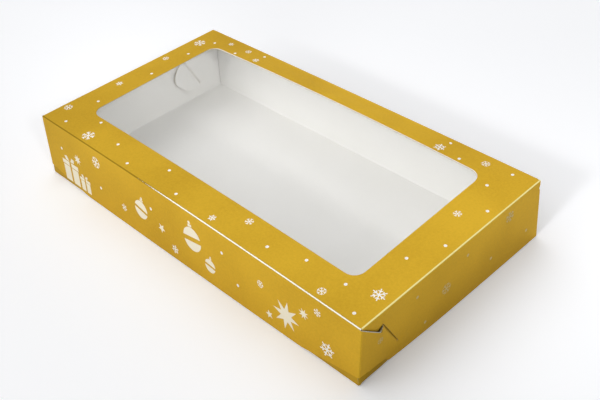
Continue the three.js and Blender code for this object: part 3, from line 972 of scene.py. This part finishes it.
# Motifs along the front, as (shape, x, millimetres down, half size, turn)
frontMotifs = [
    (parcel(0.22), -141, 36, 11, 0.0), (parcel(0.26), -122, 40, 7, 0.0),
    (star(8, 0.45), -128, 21, 4.6, 0.2), (bauble(0.14), -46, 27, 7.5, 0.2),
    (bauble(0.2), 14, 22, 9.5, -0.15), (bauble(0.16), 32, 35, 5.5, 0.1),
    (star(5, 0.45), -22, 31, 4.0, 0.3), (star(8, 0.42), 108, 32, 12, 0.1),
    (star(8, 0.42), 124, 20, 4.5, 0.3), (star(5, 0.45), 92, 41, 3.5, 0.6),
]
motifOutlines = [turned(outline, angle, size, x, down)
                 for shapes, x, down, size, angle in frontMotifs for outline in shapes]
printPiece("front_motif_print", motifOutlines, skirtPrint(frontPlace), creamInk, "lid")
print("print laid")


# Floor, light and camera
studio = {
    "floor": "#D4D4D4", "seen": "#FBFCFF", "lift": 0.17, "floorSize": 8.0,
    "fill": 0.185, "fillSide": (-0.48, 0.17, 0.86), "fillReach": (0.66, 1.0), "fillGain": 1.5,
    "shine": 0.84, "shineSide": (-0.13, 0.75, 0.64), "shineReach": (0.74, 0.97), "shineGain": 0.3,
    "keyFrom": (-0.1, -0.88, 0.47), "keyWidth": 75, "keyPower": 1.3,
    "spotFrom": (0.579, -0.218, 0.494), "spotAt": (-0.15, 0.008, 0.02), "spotCone": 13.5, "spotRadius": 0.1,
    "spotPower": 16,
    "stripFrom": (0.13, -0.6, 0.41), "stripAt": (0.075, 0.02, 0.051), "stripSize": (0.42, 0.12),
    "stripSpread": 12, "stripPower": 0.049,
}


# 1 for what the camera sees straight, in a reflection or through the film, and 0 for light on its
# way from one matt surface to the next
def seenRay(tree):
    path = addNode(tree, "ShaderNodeLightPath")
    first = addNode(tree, "ShaderNodeMath", None,
                    {0: path.outputs["Is Camera Ray"], 1: path.outputs["Is Glossy Ray"]},
                    operation="MAXIMUM")
    seen = addNode(tree, "ShaderNodeMath", None,
                   {0: first.outputs[0], 1: path.outputs["Is Transmission Ray"]}, operation="MAXIMUM")
    early = addNode(tree, "ShaderNodeMath", {1: 0.5}, {0: path.outputs["Diffuse Depth"]},
                    operation="LESS_THAN")
    return addNode(tree, "ShaderNodeMath", None, {0: seen.outputs[0], 1: early.outputs[0]},
                   operation="MULTIPLY").outputs[0]


# The floor is seen paler than it throws light back, and keeps the box's shadow
def makeFloor():
    v = studio
    bm = bmesh.new()
    bmesh.ops.create_grid(bm, x_segments=1, y_segments=1, size=v["floorSize"] / 2)
    mesh = bpy.data.meshes.new("floor")
    bm.to_mesh(mesh)
    bm.free()
    floor = bpy.data.objects.new("floor", mesh)
    bpy.context.scene.collection.objects.link(floor)
    material, tree, surface, place = newMaterial("pale_studio_floor")
    plain = addNode(tree, "ShaderNodeBsdfDiffuse", {"Color": linear(v["floor"])})
    glow = addNode(tree, "ShaderNodeEmission", {"Color": (1, 1, 1, 1), "Strength": v["lift"]})
    rest = addNode(tree, "ShaderNodeBsdfDiffuse", {"Color": linear(v["seen"])})
    both = addNode(tree, "ShaderNodeAddShader", None, {0: glow.outputs[0], 1: rest.outputs[0]})
    mixed = addNode(tree, "ShaderNodeMixShader", None,
                    {0: seenRay(tree), 1: plain.outputs[0], 2: both.outputs[0]})
    tree.links.new(mixed.outputs[0], surface)
    mesh.materials.append(material)
    floor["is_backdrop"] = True


# Soft white surroundings that grow brighter towards one side
def softSide(tree, heading, base, side, reach, gain):
    towards = addNode(tree, "ShaderNodeVectorMath", {1: Vector(side).normalized()}, {0: heading},
                      operation="DOT_PRODUCT")
    strength = addNode(tree, "ShaderNodeMapRange",
                       {"From Min": reach[0], "From Max": reach[1], "To Min": base, "To Max": base + gain},
                       {"Value": towards.outputs["Value"]}, interpolation_type="SMOOTHSTEP")
    glow = addNode(tree, "ShaderNodeBackground", {"Color": (1, 1, 1, 1)}, {"Strength": strength.outputs[0]})
    return glow.outputs[0]


# The fill lights the box, and the shine is what the camera and the reflections see
def makeWorld():
    v = studio
    world = bpy.data.worlds.new("studio")
    world.use_nodes = True
    tree = world.node_tree
    tree.nodes.clear()
    output = addNode(tree, "ShaderNodeOutputWorld")
    heading = addNode(tree, "ShaderNodeTexCoord").outputs["Generated"]
    fill = softSide(tree, heading, v["fill"], v["fillSide"], v["fillReach"], v["fillGain"])
    shine = softSide(tree, heading, v["shine"], v["shineSide"], v["shineReach"], v["shineGain"])
    mixed = addNode(tree, "ShaderNodeMixShader", None, {0: seenRay(tree), 1: fill, 2: shine})
    tree.links.new(mixed.outputs[0], output.inputs["Surface"])
    bpy.context.scene.world = world


# A wide bank of soft light, even over the whole floor
def addBank(name, direction, width, power):
    lamp = bpy.data.lights.new(name, "SUN")
    lamp.angle = math.radians(width)
    lamp.energy = power
    bank = bpy.data.objects.new(name, lamp)
    bpy.context.scene.collection.objects.link(bank)
    bank.rotation_euler = Vector(direction).to_track_quat("Z", "Y").to_euler()


# A small soft lamp that looks in through the window at the left end
def addSpot(name, spot, target, cone, radius, power):
    lamp = bpy.data.lights.new(name, "SPOT")
    lamp.spot_size = math.radians(cone)
    lamp.spot_blend = 1.0
    lamp.shadow_soft_size = radius
    lamp.energy = power
    small = bpy.data.objects.new(name, lamp)
    bpy.context.scene.collection.objects.link(small)
    small.location = spot
    small.rotation_euler = (Vector(spot) - Vector(target)).to_track_quat("Z", "Y").to_euler()


# A narrow strip of light with a grid, through the window on to the back wall
def addStrip(name, spot, target, size, spread, power):
    lamp = bpy.data.lights.new(name, "AREA")
    lamp.shape = "RECTANGLE"
    lamp.size, lamp.size_y = size
    lamp.spread = math.radians(spread)
    lamp.energy = power
    strip = bpy.data.objects.new(name, lamp)
    bpy.context.scene.collection.objects.link(strip)
    strip.location = spot
    strip.rotation_euler = (Vector(spot) - Vector(target)).to_track_quat("Z", "Y").to_euler()


makeFloor()
makeWorld()
addBank("key_bank", studio["keyFrom"], studio["keyWidth"], studio["keyPower"])
addSpot("window_spot", studio["spotFrom"], studio["spotAt"], studio["spotCone"], studio["spotRadius"],
        studio["spotPower"])
addStrip("window_strip", studio["stripFrom"], studio["stripAt"], studio["stripSize"], studio["stripSpread"],
         studio["stripPower"])

# Camera, turned about the middle of the box's base
view = {
    "azimuth": 48.47, "elevation": 38.96, "roll": -5.24, "distance": 725.6 * mm,
    "aside": 17.4 * mm, "above": 0.9 * mm, "lens": 56.46, "near": 10 * mm,
}


def makeCamera():
    azimuth, elevation, roll = (math.radians(view[k]) for k in ("azimuth", "elevation", "roll"))
    backward = Vector((math.sin(azimuth) * math.cos(elevation), -math.cos(azimuth) * math.cos(elevation),
                       math.sin(elevation)))
    level = Vector((math.cos(azimuth), math.sin(azimuth), 0))
    upward = backward.cross(level)
    right = level * math.cos(roll) + upward * math.sin(roll)
    above = upward * math.cos(roll) - level * math.sin(roll)
    data = bpy.data.cameras.new("camera")
    data.lens = view["lens"]
    data.clip_start = view["near"]
    camera = bpy.data.objects.new("camera", data)
    bpy.context.scene.collection.objects.link(camera)
    spot = backward * view["distance"] + right * view["aside"] + above * view["above"]
    camera.matrix_world = Matrix.Translation(spot) @ Matrix((right, above, backward)).transposed().to_4x4()
    bpy.context.scene.camera = camera


makeCamera()
bpy.context.scene.view_settings.view_transform = "Standard"
print("studio set")

sizes = {name: [list(corner) for corner in box] for name, box in (("cad", cadBox), ("visual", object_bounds()))}
